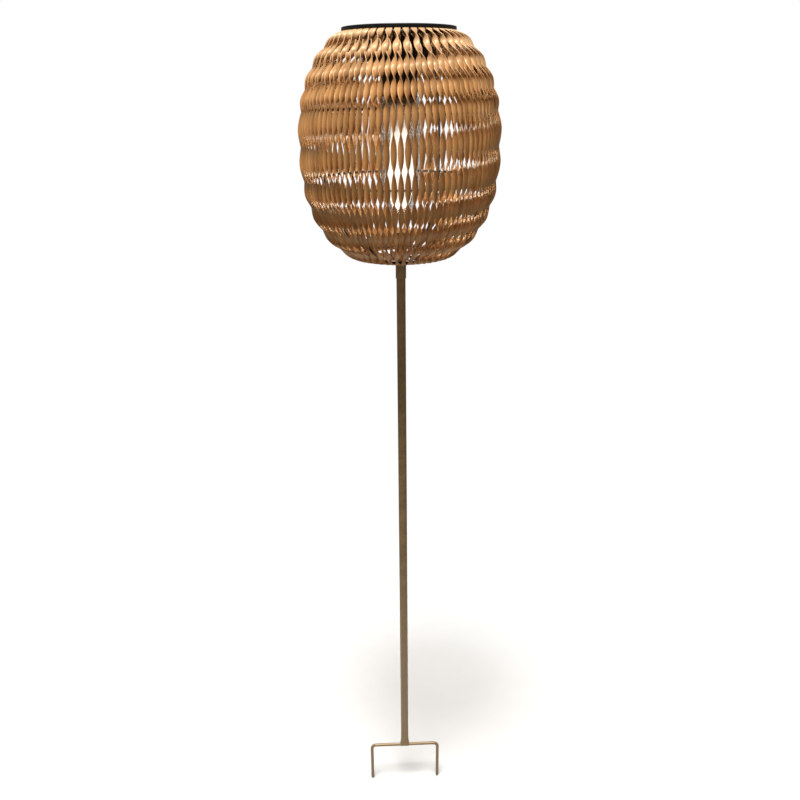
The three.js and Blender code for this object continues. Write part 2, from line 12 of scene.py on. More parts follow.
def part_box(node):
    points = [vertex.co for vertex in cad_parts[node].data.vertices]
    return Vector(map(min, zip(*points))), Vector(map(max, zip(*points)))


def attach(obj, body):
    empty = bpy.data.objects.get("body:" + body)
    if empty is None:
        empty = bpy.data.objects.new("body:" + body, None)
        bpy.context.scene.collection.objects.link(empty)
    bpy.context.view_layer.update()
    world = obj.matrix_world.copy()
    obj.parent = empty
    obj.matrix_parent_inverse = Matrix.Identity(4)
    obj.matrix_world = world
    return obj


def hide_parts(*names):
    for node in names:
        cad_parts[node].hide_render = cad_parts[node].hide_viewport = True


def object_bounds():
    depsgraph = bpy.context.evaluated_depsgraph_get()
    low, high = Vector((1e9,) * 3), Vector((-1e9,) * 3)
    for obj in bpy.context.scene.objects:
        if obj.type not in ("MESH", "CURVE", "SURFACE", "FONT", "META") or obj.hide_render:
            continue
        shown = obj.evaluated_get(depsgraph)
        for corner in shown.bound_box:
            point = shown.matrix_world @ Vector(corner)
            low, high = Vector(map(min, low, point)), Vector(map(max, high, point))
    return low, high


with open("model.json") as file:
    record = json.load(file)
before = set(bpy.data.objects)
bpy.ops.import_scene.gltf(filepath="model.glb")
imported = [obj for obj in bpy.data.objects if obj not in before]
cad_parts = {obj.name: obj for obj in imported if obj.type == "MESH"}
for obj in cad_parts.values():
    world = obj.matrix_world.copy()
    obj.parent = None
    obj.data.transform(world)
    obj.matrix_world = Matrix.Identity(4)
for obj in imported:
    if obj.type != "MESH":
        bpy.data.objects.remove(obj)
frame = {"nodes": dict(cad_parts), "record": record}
cad_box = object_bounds()

# ---- Sizes that the frame's boxes don't give ----

MM = 0.001

STRIP_WIDTH = 7.3 * MM
STRIP_THICKNESS = 1.3 * MM
PANELS = 12
FOLDS_PER_PANEL = 4  # each fold is one strip hung over the top hoop, so it has two legs
LEG_SHIFT = pi / (2 * PANELS * FOLDS_PER_PANEL)  # how far each leg moves aside from its fold
SHIFT_RUN = 50 * MM  # the length of leg over which it does so
HALF_TWISTS = (4, 2, 4)  # from the top hoop down, between one hoop and the next
STEPS_PER_HALF_TWIST = 11
TWIST_EASE = 0.10  # radians by which a strip lingers flat before it turns on
STRIP_LEAN = 0.10  # radians by which a strip may lean out of step with the others
TUCK_ANGLE = 1.9  # radians that a strip's foot goes round the bottom hoop

BELLY_Z = 0.958
BELLY_RADIUS = 0.1212
UPPER_HALF = (0.1444, 2.3)  # height and power of the superellipse above the belly
LOWER_HALF = (0.1472, 2.5)
HOOP_HEIGHTS = (1.083, 0.996, 0.9145, 0.8185)  # on the strips' centre line, from the top down
HOOP_WIRE = 1.5 * MM
HOOP_INSET = 2.6 * MM  # from the strips' centre line in to the hoops'
RIB_INSET = HOOP_INSET + 2 * HOOP_WIRE + 0.1 * MM
RIBS = 4
SPOKE_Z = 0.819  # where the ribs run in to the sleeve
SLEEVE_GAP = 0.3 * MM

POLE_RADIUS = 6 * MM
POLE_WALL = 1 * MM
POLE_FLARE = 14.5 * MM  # height over which the foot widens
FORK_WIRE = 2.5 * MM
FORK_BEND = 7 * MM

LID_FLOOR = 2 * MM
LEAD_HOLE = 4 * MM
SKIRT_DEPTH = 6 * MM
SKIRT_INNER, SKIRT_OUTER = 62.5 * MM, 64.5 * MM
CAN_INNER, CAN_OUTER = 20 * MM, 22 * MM
CAN_BASE = 1.013
FLANGE_THICKNESS = 2.5 * MM
SHROUD_BOTTOM = 1.052
GROOVE_INNER, GROOVE_OUTER, GROOVE_DEPTH = 23 * MM, 25.3 * MM, 1.2 * MM
SPIGOT_INNER, SPIGOT_OUTER = 16.5 * MM, 18 * MM
SCREW_CIRCLE = 28.5 * MM
SCREWS = 3


def top_of(node):
    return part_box(node)[1][2]


def bottom_of(node):
    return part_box(node)[0][2]


def half_width(node):
    low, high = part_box(node)
    return (high[0] - low[0]) / 2


# ---- Materials ----


class Finish:
    """One material's node tree, with the shader and the nodes that most finishes use."""

    def __init__(self, name, **sockets):
        self.material = bpy.data.materials.new(name)
        self.material.use_nodes = True
        self.tree = self.material.node_tree
        self.shader = self.tree.nodes["Principled BSDF"]
        for socket, value in sockets.items():
            self.shader.inputs[socket.replace("_", " ")].default_value = value

    def add(self, kind, links=None, values=None, **settings):
        """A new node with its settings, its linked inputs and the values of its other inputs."""
        node = self.tree.nodes.new(kind)
        for key, value in settings.items():
            setattr(node, key, value)
        for key, value in (values or {}).items():
            node.inputs[key].default_value = value
        for key, output in (links or {}).items():
            self.tree.links.new(output, node.inputs[key])
        return node

    def to_shader(self, socket, output):
        self.tree.links.new(output, self.shader.inputs[socket])

    def place(self, scale=(1, 1, 1), source="Object"):
        """Coordinates in metres, scaled: the row frame's, or the strip's own across and along its length."""
        if source == "Strip":
            output = self.add("ShaderNodeUVMap", uv_map="Strip").outputs["UV"]
        else:
            output = self.add("ShaderNodeTexCoord").outputs[source]
        mapping = self.add("ShaderNodeMapping", {"Vector": output}, {"Scale": scale})
        return mapping.outputs["Vector"]

    def noise(self, vector, scale, detail=3.0, roughness=0.55):
        values = {"Scale": scale, "Detail": detail, "Roughness": roughness}
        return self.add("ShaderNodeTexNoise", {"Vector": vector}, values).outputs["Fac"]

    def ramp(self, factor, stops):
        node = self.add("ShaderNodeValToRGB", {"Fac": factor})
        elements = node.color_ramp.elements
        for index, (position, colour) in enumerate(stops):
            element = elements[index] if index < 2 else elements.new(position)
            element.position = position
            element.color = (*colour, 1)
        return node.outputs["Color"]

    def spread(self, factor, low, high):
        """A number that runs from low to high as factor runs over the middle of a noise."""
        values = {"From Min": 0.3, "From Max": 0.7, "To Min": low, "To Max": high}
        return self.add("ShaderNodeMapRange", {"Value": factor}, values).outputs["Result"]

    def over_height(self, start, end, first, last):
        """A number that runs from first to last between two heights, and stays the same beyond them."""
        height = self.add("ShaderNodeSeparateXYZ", {"Vector": self.place()}).outputs["Z"]
        values = {"From Min": start, "From Max": end, "To Min": first, "To Max": last}
        return self.add("ShaderNodeMapRange", {"Value": height}, values).outputs["Result"]

    def mix(self, factor, first, second, blend="MIX"):
        node = self.add("ShaderNodeMix", data_type="RGBA", blend_type=blend)
        for socket, value in ((node.inputs[0], factor), (node.inputs[6], first), (node.inputs[7], second)):
            if isinstance(value, bpy.types.NodeSocket):
                self.tree.links.new(value, socket)
            else:
                socket.default_value = value if isinstance(value, (int, float)) else (*value, 1)
        return node.outputs[2]

    def multiply(self, first, second):
        node = self.add("ShaderNodeMath", operation="MULTIPLY")
        for socket, value in zip(node.inputs, (first, second)):
            if isinstance(value, bpy.types.NodeSocket):
                self.tree.links.new(value, socket)
            else:
                socket.default_value = value
        return node.outputs[0]

    def bump(self, height, distance, strength=1.0, below=None):
        links = {"Height": height}
        if below is not None:
            links["Normal"] = below
        node = self.add("ShaderNodeBump", links, {"Strength": strength, "Distance": distance})
        return node.outputs["Normal"]


def rattan_finish():
    """Extruded rattan-look strip: fine grooves, long streaks, a tone for each strip, and painted top light
    that makes it paler towards the rim.
    """
    f = Finish("rattan_strip", Specular_IOR_Level=0.45, Specular_Tint=(1.0, 0.84, 0.56, 1))
    tone = f.add("ShaderNodeAttribute", attribute_name="Tone").outputs["Fac"]
    streaks = f.noise(f.place((260, 9, 1), "Strip"), 1.0, 4.0, 0.6)
    grain = f.noise(f.place((2200, 60, 1), "Strip"), 1.0, 2.0, 0.5)
    blotches = f.noise(f.place(), 38.0, 3.0)
    browns = [(0.32, (0.27, 0.112, 0.032)), (0.5, (0.43, 0.200, 0.066)), (0.68, (0.57, 0.30, 0.115))]
    base = f.ramp(streaks, browns)
    toned = f.mix(tone, (0.80, 0.76, 0.72), (1.12, 1.10, 1.08))
    colour = f.mix(1.0, base, toned, "MULTIPLY")
    worn = f.mix(f.spread(blotches, 0.0, 0.3), colour, (0.60, 0.36, 0.17))
    lines = f.mix(f.spread(grain, 0.25, 0.0), worn, (0.20, 0.105, 0.045))
    # Paler and creamier towards the rim: painted top light, standing in for the light from above on the
    # upper rows.
    painted_top_light = f.over_height(1.02, 1.075, 0.0, 0.35)
    f.to_shader("Base Color", f.mix(painted_top_light, lines, (0.60, 0.43, 0.26)))
    f.to_shader("Roughness", f.spread(streaks, 0.46, 0.30))
    groove = f.bump(grain, 0.12 * MM, 0.9)
    f.to_shader("Normal", f.bump(streaks, 0.3 * MM, 0.6, groove))
    return f.material


def paint_finish(name, dark, light, painted_ground_shade=None):
    """Satin paint on steel: orange peel, faint mottling, rubbed specks, and painted shade that darkens it
    low on the stake.
    """
    f = Finish(name, Metallic=0.2, Coat_Weight=0.1, Coat_Roughness=0.3)
    place = f.place()
    mottle = f.noise(place, 90.0, 6.0, 0.7)
    peel = f.noise(place, 700.0, 2.0, 0.5)
    specks = f.noise(place, 420.0, 6.0, 0.75)
    colour = f.ramp(mottle, [(0.3, dark), (0.7, light)])
    rubbed = f.ramp(specks, [(0.66, (0, 0, 0)), (0.76, (1, 1, 1))])
    colour = f.mix(f.multiply(rubbed, 0.3), colour, tuple(2.2 * c for c in light))
    if painted_ground_shade:
        # Darker towards the ground: painted shade.
        low = f.over_height(0.45, -0.02, 0.0, 0.75)
        colour = f.mix(f.multiply(low, f.spread(mottle, 0.7, 1.0)), colour, painted_ground_shade)
    f.to_shader("Base Color", colour)
    f.to_shader("Roughness", f.spread(mottle, 0.36, 0.52))
    f.to_shader("Normal", f.bump(peel, 0.08 * MM, 0.8))
    return f.material


def moulded_finish(name, dark, light, roughness=(0.34, 0.50), grain=1500.0):
    """Moulded plastic or rubber: fine spark-eroded texture, and slightly uneven gloss."""
    f = Finish(name, IOR=1.45, Specular_IOR_Level=0.35)
    place = f.place()
    cloud = f.noise(place, 45.0, 4.0)
    texture = f.noise(place, grain, 2.0)
    f.to_shader("Base Color", f.ramp(cloud, [(0.3, dark), (0.7, light)]))
    f.to_shader("Roughness", f.spread(cloud, *roughness))
    f.to_shader("Normal", f.bump(texture, 0.05 * MM, 0.5))
    return f.material


def clear_finish(name, tint, frost):
    """Hazy clear plastic, seen through by its alpha, and frosted round the globe's shoulder."""
    f = Finish(name, IOR=1.49, Coat_Weight=0.4, Coat_Roughness=0.05)
    haze = f.noise(f.place(), 55.0, 3.0)
    along = f.over_height(0.960, 1.040, 0.0, 1.0)
    shoulder = f.ramp(along, [(0.05, (0, 0, 0)), (0.35, (1, 1, 1)), (0.75, (1, 1, 1)), (0.95, (0, 0, 0))])
    f.to_shader("Base Color", f.mix(shoulder, tint, frost))
    f.to_shader("Roughness", f.spread(haze, 0.12, 0.22))
    frosting = f.multiply(shoulder, f.spread(haze, 0.30, 0.42))
    clear = f.spread(haze, 0.22, 0.30)
    f.to_shader("Alpha", f.add("ShaderNodeMath", {0: clear, 1: frosting}, operation="ADD").outputs[0])
    return f.material


def glowing_finish(name, colour, glow, strength, seen, fade=(1.2, 1.1)):
    """Milky plastic lit from inside, a little unevenly. The glow goes out between the two heights of fade.

    A picture can't hold the lamp's full brightness without eating the edges of the thin strips in front
    of it, so the camera gets the strength called seen and everything round the lamp gets the full one.
    """
    f = Finish(name)
    cloud = f.noise(f.place(), 70.0, 3.0)
    lit = f.over_height(*fade, 0.0, 1.0)
    direct = f.add("ShaderNodeLightPath").outputs["Is Camera Ray"]
    values = {"To Min": strength, "To Max": seen}
    shown = f.add("ShaderNodeMapRange", {"Value": direct}, values).outputs["Result"]
    f.to_shader("Emission Strength", f.multiply(lit, shown))
    f.to_shader("Base Color", f.ramp(cloud, [(0.3, colour), (0.7, tuple(0.94 * c for c in colour))]))
    f.to_shader("Emission Color", f.ramp(cloud, [(0.25, glow), (0.75, tuple(0.88 * c for c in glow))]))
    f.to_shader("Roughness", f.spread(cloud, 0.40, 0.55))
    return f.material


def silicon_finish():
    """Solar cell: dark blue wafers side by side, with silver collector lines across them."""
    f = Finish("solar_silicon", Metallic=0.2, Coat_Weight=0.8, Coat_Roughness=0.06)
    place = f.place()
    crystal = f.add("ShaderNodeTexVoronoi", {"Vector": place}, {"Scale": 160.0}).outputs["Color"]
    blue = f.mix(0.25, (0.006, 0.012, 0.050), crystal, "OVERLAY")

    def silver_lines(thickness, width, height):
        values = {"Scale": 1.0, "Mortar Size": thickness, "Mortar Smooth": 0.0}
        values.update({"Brick Width": width, "Row Height": height})
        return f.add("ShaderNodeTexBrick", {"Vector": place}, values, offset=0.0).outputs["Fac"]

    silver = (0.55, 0.57, 0.60)
    fingers = f.mix(silver_lines(0.08 * MM, 200 * MM, 2 * MM), blue, silver)
    f.to_shader("Base Color", f.mix(silver_lines(0.3 * MM, 13.3 * MM, 40 * MM), fingers, silver))
    f.to_shader("Roughness", f.spread(f.noise(place, 90.0), 0.2, 0.34))
    return f.material


def metal_finish(name, dark, light):
    """Plated or turned metal with fine brushed lines."""
    f = Finish(name, Metallic=1.0)
    brushed = f.noise(f.place((1, 1, 14)), 700.0, 3.0)
    f.to_shader("Base Color", f.ramp(brushed, [(0.3, dark), (0.7, light)]))
    f.to_shader("Roughness", f.spread(brushed, 0.22, 0.42))
    f.to_shader("Normal", f.bump(brushed, 0.02 * MM, 0.4))
    return f.material


def board_finish():
    """Green solder mask over copper tracks, on glass fibre."""
    f = Finish("green_board", Roughness=0.35, Coat_Weight=0.5, Coat_Roughness=0.15)
    place = f.place()
    bricks = {"Scale": 1.0, "Mortar Size": 0.6 * MM, "Brick Width": 6 * MM, "Row Height": 2.5 * MM}
    tracks = f.add("ShaderNodeTexBrick", {"Vector": place}, bricks, offset=0.37).outputs["Fac"]
    weave = f.noise(place, 1800.0, 2.0)
    green = f.ramp(weave, [(0.3, (0.012, 0.085, 0.030)), (0.7, (0.020, 0.120, 0.045))])
    f.to_shader("Base Color", f.mix(tracks, green, (0.050, 0.20, 0.070)))
    f.to_shader("Normal", f.bump(tracks, 0.04 * MM, 0.5))
    return f.material


FINISHES = {
    # The bronze paint's third colour is its painted shade low on the stake.
    "bronze_paint": paint_finish(
        "bronze_paint", (0.150, 0.092, 0.036), (0.252, 0.166, 0.072), (0.145, 0.097, 0.045)
    ),
    "frame_paint": paint_finish("frame_paint", (0.026, 0.017, 0.010), (0.042, 0.028, 0.017)),
    "rattan_strip": rattan_finish(),
    "black_plastic": moulded_finish("black_plastic", (0.004, 0.004, 0.005), (0.009, 0.009, 0.010)),
    "clear_plastic": clear_finish("clear_plastic", (0.034, 0.030, 0.028), (0.20, 0.165, 0.145)),
    "white_diffuser": glowing_finish(
        "white_diffuser", (0.86, 0.85, 0.82), (1.0, 0.94, 0.83), 32.0, 1.8, (0.992, 0.976)
    ),
    "led_lens": glowing_finish("led_lens", (0.80, 0.66, 0.30), (1.0, 0.78, 0.45), 6.0, 3.0),
    "rubber_seal": moulded_finish(
        "rubber_seal", (0.010, 0.010, 0.011), (0.020, 0.020, 0.021), (0.75, 0.9), 900.0
    ),
    "solar_silicon": silicon_finish(),
    "green_board": board_finish(),
    "battery_sleeve": moulded_finish(
        "battery_sleeve", (0.02, 0.16, 0.06), (0.03, 0.20, 0.08), (0.2, 0.3), 300.0
    ),
    "red_insulation": moulded_finish("red_insulation", (0.34, 0.012, 0.010), (0.42, 0.02, 0.016)),
    "black_insulation": moulded_finish("black_insulation", (0.010, 0.010, 0.010), (0.018, 0.018, 0.018)),
    "plated_steel": metal_finish("plated_steel", (0.46, 0.47, 0.48), (0.66, 0.67, 0.68)),
}


def finish_cad_nodes():
    """Every CAD node gets its record slot's finish; most of them are then replaced by finer pieces."""
    for entry in frame["record"]["subparts"]:
        node = frame["nodes"][entry["node"]]
        node.data.materials.clear()
        node.data.materials.append(FINISHES[entry["material_slot"]])


# ---- Mesh helpers ----


def add_piece(name, vertices, faces, slot, body, *nodes, smooth=True):
    """A new mesh piece in the row frame, with its finish, its body and the CAD nodes it stands for."""
    mesh = bpy.data.meshes.new(name)
    mesh.from_pydata([tuple(v) for v in vertices], [], [tuple(f) for f in faces])
    mesh.validate()
    mesh.polygons.foreach_set("use_smooth", [smooth] * len(mesh.polygons))
    piece = bpy.data.objects.new(name, mesh)
    bpy.context.scene.collection.objects.link(piece)
    mesh.materials.append(FINISHES[slot])
    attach(piece, body)
    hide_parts(*nodes)
    return piece


def rounded(outline, radius, steps=4):
    """The outline with each corner off the axis turned into a small arc, held by a point on either side."""
    points = [Vector(p) for p in outline]
    result = []
    for i, corner in enumerate(points):
        before, after = points[i - 1], points[(i + 1) % len(points)]
        if corner.x < 1e-9:
            result.append(corner)
            continue
        back, ahead = before - corner, after - corner
        reach = min(radius, 0.4 * back.length, 0.4 * ahead.length)
        start, end = corner + back.normalized() * reach, corner + ahead.normalized() * reach
        result.append(corner + back.normalized() * 1.15 * reach)
        for k in range(steps + 1):
            t = k / steps
            result.append((1 - t) ** 2 * start + 2 * t * (1 - t) * corner + t**2 * end)
        result.append(corner + ahead.normalized() * 1.15 * reach)
    return result


def turned(outline, segments=96):
    """Vertices and faces of an anticlockwise outline of (radius, height) turned about Z."""
    vertices, rings = [], []
    for radius, z in outline:
        if radius < 1e-9:
            rings.append([len(vertices)] * segments)
            vertices.append((0, 0, z))
            continue
        rings.append(list(range(len(vertices), len(vertices) + segments)))
        angles = (2 * pi * k / segments for k in range(segments))
        vertices.extend((radius * cos(a), radius * sin(a), z) for a in angles)
    faces = []
    for i, ring in enumerate(rings):
        following = rings[(i + 1) % len(rings)]
        for k in range(segments):
            m = (k + 1) % segments
            corners = dict.fromkeys((ring[k], ring[m], following[m], following[k]))
            if len(corners) > 2:
                faces.append(tuple(corners))
    return vertices, faces


def bar(points, radius, sides=16, closed=False, round_ends=False):
    """Vertices and faces of a round bar along points, with flat or rounded ends, or closed on itself."""
    path = [Vector(p) for p in points]
    count = len(path)
    vertices, faces = [], []
    side = None
    for i, point in enumerate(path):
        before = path[i - 1] if closed or i else path[0]
        after = path[(i + 1) % count] if closed or i < count - 1 else path[-1]
        along = (after - before).normalized()
        if side is None:
            side = along.orthogonal().normalized()
        side = (side - along * side.dot(along)).normalized()
        other = along.cross(side)
        for k in range(sides):
            angle = 2 * pi * k / sides
            vertices.append(point + radius * (cos(angle) * side + sin(angle) * other))
    for i in range(count if closed else count - 1):
        for k in range(sides):
            m = (k + 1) % sides
            here, there = i * sides, ((i + 1) % count) * sides
            faces.append((here + k, here + m, there + m, there + k))
    if closed:
        return vertices, faces
    for end, inner in ((0, 1), (count - 1, count - 2)):
        outward = (path[end] - path[inner]).normalized()
        previous = [end * sides + k for k in range(sides)]
        steps = 4 if round_ends else 0
        for j in range(1, steps):
            angle = j * pi / (2 * steps)
            ring = []
            for k in range(sides):
                spoke = vertices[end * sides + k] - path[end]
                ring.append(len(vertices))
                vertices.append(path[end] + spoke * cos(angle) + outward * radius * sin(angle))
            for k in range(sides):
                m = (k + 1) % sides
                quad = (previous[k], previous[m], ring[m], ring[k])
                faces.append(quad if end else quad[::-1])
            previous = ring
        tip = len(vertices)
        vertices.append(path[end] + outward * (radius if round_ends else 0))
        for k in range(sides):
            triangle = (previous[k], previous[(k + 1) % sides], tip)
            faces.append(triangle if end else triangle[::-1])
    return vertices, faces


def joined(*parts):
    """Several (vertices, faces) pairs as one."""
    vertices, faces = [], []
    for part_vertices, part_faces in parts:
        start = len(vertices)
        vertices.extend(part_vertices)
        faces.extend(tuple(start + i for i in face) for face in part_faces)
    return vertices, faces


def moved(part, matrix):
    """The part's vertices put through the matrix, and its faces."""
    return [matrix @ Vector(v) for v in part[0]], part[1]


def around(angle, radius, z=0.0):
    """The matrix that moves a part out from the axis along a spoke and turns it to face that way."""
    place = Matrix.Translation((radius * cos(angle), radius * sin(angle), z))
    return place @ Matrix.Rotation(angle, 4, "Z")


def block(low, high):
    """Vertices and faces of a box."""
    xs, ys, zs = zip(low, high)
    vertices = [(x, y, z) for x in xs for y in ys for z in zs]
    faces = [(0, 1, 3, 2), (4, 6, 7, 5), (0, 4, 5, 1), (2, 3, 7, 6), (0, 2, 6, 4), (1, 5, 7, 3)]
    return vertices, faces


def post(radius, bottom, top, x, y, segments=32):
    """Vertices and faces of an upright round bar."""
    part = turned([(0, bottom), (radius, bottom), (radius, top), (0, top)], segments)
    return moved(part, Matrix.Translation((x, y, 0)))


def cut(part, *tools):
    """The part with each tool taken out of it."""
    meshes = []
    for vertices, faces in (part, *tools):
        mesh = bpy.data.meshes.new("cutting")
        mesh.from_pydata([tuple(v) for v in vertices], [], faces)
        item = bpy.data.objects.new("cutting", mesh)
        bpy.context.scene.collection.objects.link(item)
        meshes.append(item)
    body, *cutters = meshes
    for cutter in cutters:
        modifier = body.modifiers.new("cut", "BOOLEAN")
        modifier.operation = "DIFFERENCE"
        modifier.object = cutter
        modifier.solver = "EXACT"
    result = body.evaluated_get(bpy.context.evaluated_depsgraph_get()).to_mesh()
    vertices = [v.co.copy() for v in result.vertices]
    faces = [tuple(p.vertices) for p in result.polygons]
    for item in meshes:
        data = item.data
        bpy.data.objects.remove(item)
        bpy.data.meshes.remove(data)
    return vertices, faces


def sharpen(piece, degrees=32):
    """Edges steeper than this stay crisp."""
    piece.data.set_sharp_from_angle(angle=radians(degrees))


# ---- Shade: strips, hoops, ribs and sleeve ----


def barrel_radius(z):
    """Radius of the strips' centre line at height z: two superellipse halves that meet at the belly."""
    height, power = UPPER_HALF if z > BELLY_Z else LOWER_HALF
    return BELLY_RADIUS * (1 - (abs(z - BELLY_Z) / height) ** power) ** (1 / power)


def barrel_normal(z):
    step = 1e-5
    slope = (barrel_radius(z + step) - barrel_radius(z - step)) / (2 * step)
    return Vector((1, -slope)).normalized()


def barrel_point(z, offset=0.0):
    """(radius, height) on the barrel at height z, moved outward by offset."""
    return Vector((barrel_radius(z), z)) + offset * barrel_normal(z)


def even_heights(top, bottom, count):
    """Heights from top to bottom, count steps of equal length measured along the barrel."""
    fine = np.linspace(top, bottom, 801)
    radii = np.array([barrel_radius(z) for z in fine])
    lengths = np.concatenate([[0], np.cumsum(np.hypot(np.diff(radii), np.diff(fine)))])
    heights = np.interp(np.linspace(0, lengths[-1], count + 1), lengths, fine)
    return heights.tolist(), float(lengths[-1])


def layer_gap(run, run_to_bottom):
    """How far the inner legs lie behind the outer ones: the hoop is between them at both ends."""
    below_top = (0, 12 * MM, 26 * MM, 50 * MM, 95 * MM)
    above_bottom = (0, 12 * MM, 30 * MM, 60 * MM, 100 * MM)
    near_top = np.interp(run, below_top, (5.2 * MM, 6.6 * MM, 4.2 * MM, 1.7 * MM, 0))
    near_bottom = np.interp(run_to_bottom, above_bottom, (5.2 * MM, 5.4 * MM, 3.4 * MM, 1.7 * MM, 0))
    return float(max(near_top, near_bottom))


def leg_samples(outer):
    """One leg from the top hoop down: (radius, height), normal, twist, and share of its sideways shift."""
    samples = []
    spans = list(zip(HOOP_HEIGHTS, HOOP_HEIGHTS[1:]))
    total = sum(even_heights(top, bottom, 1)[1] for top, bottom in spans)
    run = 0.0
    turn = 0.0
    for (top, bottom), half_twists in zip(spans, HALF_TWISTS):
        steps = STEPS_PER_HALF_TWIST * half_twists
        heights, length = even_heights(top, bottom, steps)
        for k, z in enumerate(heights[:-1] if bottom > HOOP_HEIGHTS[-1] else heights):
            t = k / steps
            here = run + t * length
            inset = 0 if outer else layer_gap(here, total - here)
            twist = turn + pi * t * half_twists - TWIST_EASE * sin(2 * pi * t * half_twists)
            samples.append((barrel_point(z, -inset), barrel_normal(z), twist, min(1.0, here / SHIFT_RUN)))
        run += length
        turn += pi * half_twists
    return samples


def hoop_wrap(z, start, end, radius, count):
    """Arc round a hoop between two angles from the barrel's own normal: (point, normal) pairs."""
    centre = barrel_point(z, -HOOP_INSET)
    base = atan2(barrel_normal(z).y, barrel_normal(z).x)
    arc = []
    for k in range(count + 1):
        angle = base + start + (end - start) * k / count
        normal = Vector((cos(angle), sin(angle)))
        arc.append((centre + radius * normal, normal))
    return arc


def fold_samples():
    """A whole strip: round the bottom hoop, up the outer leg, over the top hoop and down the inner leg."""
    top, bottom = HOOP_HEIGHTS[0], HOOP_HEIGHTS[-1]
    outer = [(p, n, turn, -share) for p, n, turn, share in leg_samples(True)]
    inner = [(p, -n, turn, share) for p, n, turn, share in leg_samples(False)]
    tuck = hoop_wrap(bottom, -TUCK_ANGLE, 0, HOOP_INSET, 8)[:-1]
    over = hoop_wrap(top, 0, pi, HOOP_INSET, 12)[1:-1]
    foot_turn = outer[-1][2]
    samples = [(p, n, foot_turn, -1.0) for p, n in tuck]
    samples += outer[::-1]
    samples += [(p, n, 0.0, 0.0) for p, n in over]
    return samples + inner


# Half of a strip's section, as shares of its width and thickness. The other half is its opposite.
HALF_SECTION = [(0.5, 0), (0.487, 0.27), (0.45, 0.44), (0.38, 0.5), (0, 0.5)]
HALF_SECTION += [(-x, y) for x, y in HALF_SECTION[3:0:-1]]
STRIP_SECTION = HALF_SECTION + [(-x, -y) for x, y in HALF_SECTION]


def strip_mesh(samples, azimuth, chance):
    """Vertices, faces and strip coordinates of one folded strip, twisted about its own centre line."""
    sides = len(STRIP_SECTION)
    vertices, faces, across, along = [], [], [], []
    lean = chance.uniform(-STRIP_LEAN, STRIP_LEAN)
    width = STRIP_WIDTH * chance.uniform(0.97, 1.0)
    length = 0.0
    last = None
    for point, normal, turn, share in samples:
        angle = azimuth + share * LEG_SHIFT
        radial = Vector((cos(angle), sin(angle), 0))
        beside = Vector((-sin(angle), cos(angle), 0))
        out = Vector((radial.x * normal.x, radial.y * normal.x, normal.y))
        centre = Vector((radial.x * point.x, radial.y * point.x, point.y))
        length += (centre - last).length if last else 0.0
        last = centre
        hand = 1 if share > 0 else -1  # the inner leg is the other way up, so the same twist turns back
        phase = hand * turn + lean * sin(turn) ** 2
        flat = cos(phase) * beside + sin(phase) * out
        face = -sin(phase) * beside + cos(phase) * out
        for k, (x, y) in enumerate(STRIP_SECTION):
            vertices.append(centre + x * width * flat + y * STRIP_THICKNESS * face)
            across.append(x * width)
            along.append(length)
    for i in range(len(samples) - 1):
        for k in range(sides):
            m = (k + 1) % sides
            faces.append((i * sides + k, (i + 1) * sides + k, (i + 1) * sides + m, i * sides + m))
    faces.append(tuple(range(sides)))
    faces.append(tuple(range((len(samples) - 1) * sides, len(samples) * sides))[::-1])
    return vertices, faces, across, along


def add_strips():
    """Twelve groups of four folded strips, each group in place of one CAD panel."""
    samples = fold_samples()
    chance = random.Random(7)
    step = 2 * pi / (PANELS * FOLDS_PER_PANEL)
    for panel in range(PANELS):
        vertices, faces, across, along, tones = [], [], [], [], []
        for fold in range(FOLDS_PER_PANEL):
            azimuth = step * (panel * FOLDS_PER_PANEL + fold + 0.5)
            part = strip_mesh(samples, azimuth, chance)
            start = len(vertices)
            vertices += part[0]
            faces += [tuple(start + i for i in face) for face in part[1]]
            origin = chance.uniform(0, 40)  # each strip's own place in the grain's noise
            across += [origin + x for x in part[2]]
            along += part[3]
            tones += [chance.random()] * len(part[0])
        number = f"{panel + 1:02d}"
        name = f"woven_strips_{number}"
        piece = add_piece(name, vertices, faces, "rattan_strip", "shade", f"strip_panel_{number}")
        mark_strip_coordinates(piece.data, across, along, tones)
        sharpen(piece, 50)


def mark_strip_coordinates(mesh, across, along, tones):
    """Stores each corner's place across and along its strip, and each vertex's tone."""
    layer = mesh.uv_layers.new(name="Strip")
    corners = np.empty(len(mesh.loops), dtype=np.int32)
    mesh.loops.foreach_get("vertex_index", corners)
    places = np.stack([np.array(across)[corners], np.array(along)[corners]], axis=1)
    layer.data.foreach_set("uv", places.ravel())
    tone = mesh.attributes.new("Tone", "FLOAT", "POINT")
    tone.data.foreach_set("value", tones)


def circle(radius, z, count):
    return [(radius * cos(2 * pi * k / count), radius * sin(2 * pi * k / count), z) for k in range(count)]


def rib_angle(index):
    return radians(-120 + 90 * index)


def rib_path(index):
    """Centre line of one rib: inside the hoops from the top one down, then in to the sleeve as a spoke."""
    arch = []
    for top, bottom in zip(HOOP_HEIGHTS, HOOP_HEIGHTS[1:]):
        arch += [barrel_point(z, -RIB_INSET) for z in even_heights(top, bottom, 12)[0][:-1]]
    arch.append(barrel_point(HOOP_HEIGHTS[-1], -RIB_INSET))
    start = arch[-1]
    handle = start + (arch[-1] - arch[-2]).normalized() * 12 * MM
    bend_end = Vector((28 * MM, SPOKE_Z))
    for k in range(1, 9):
        t = k / 8
        arch.append((1 - t) ** 2 * start + 2 * t * (1 - t) * handle + t**2 * bend_end)
    arch.append(Vector((half_width("socket_sleeve") + 0.2 * MM, SPOKE_Z)))
    angle = rib_angle(index)
    return [(p.x * cos(angle), p.x * sin(angle), p.y) for p in arch]


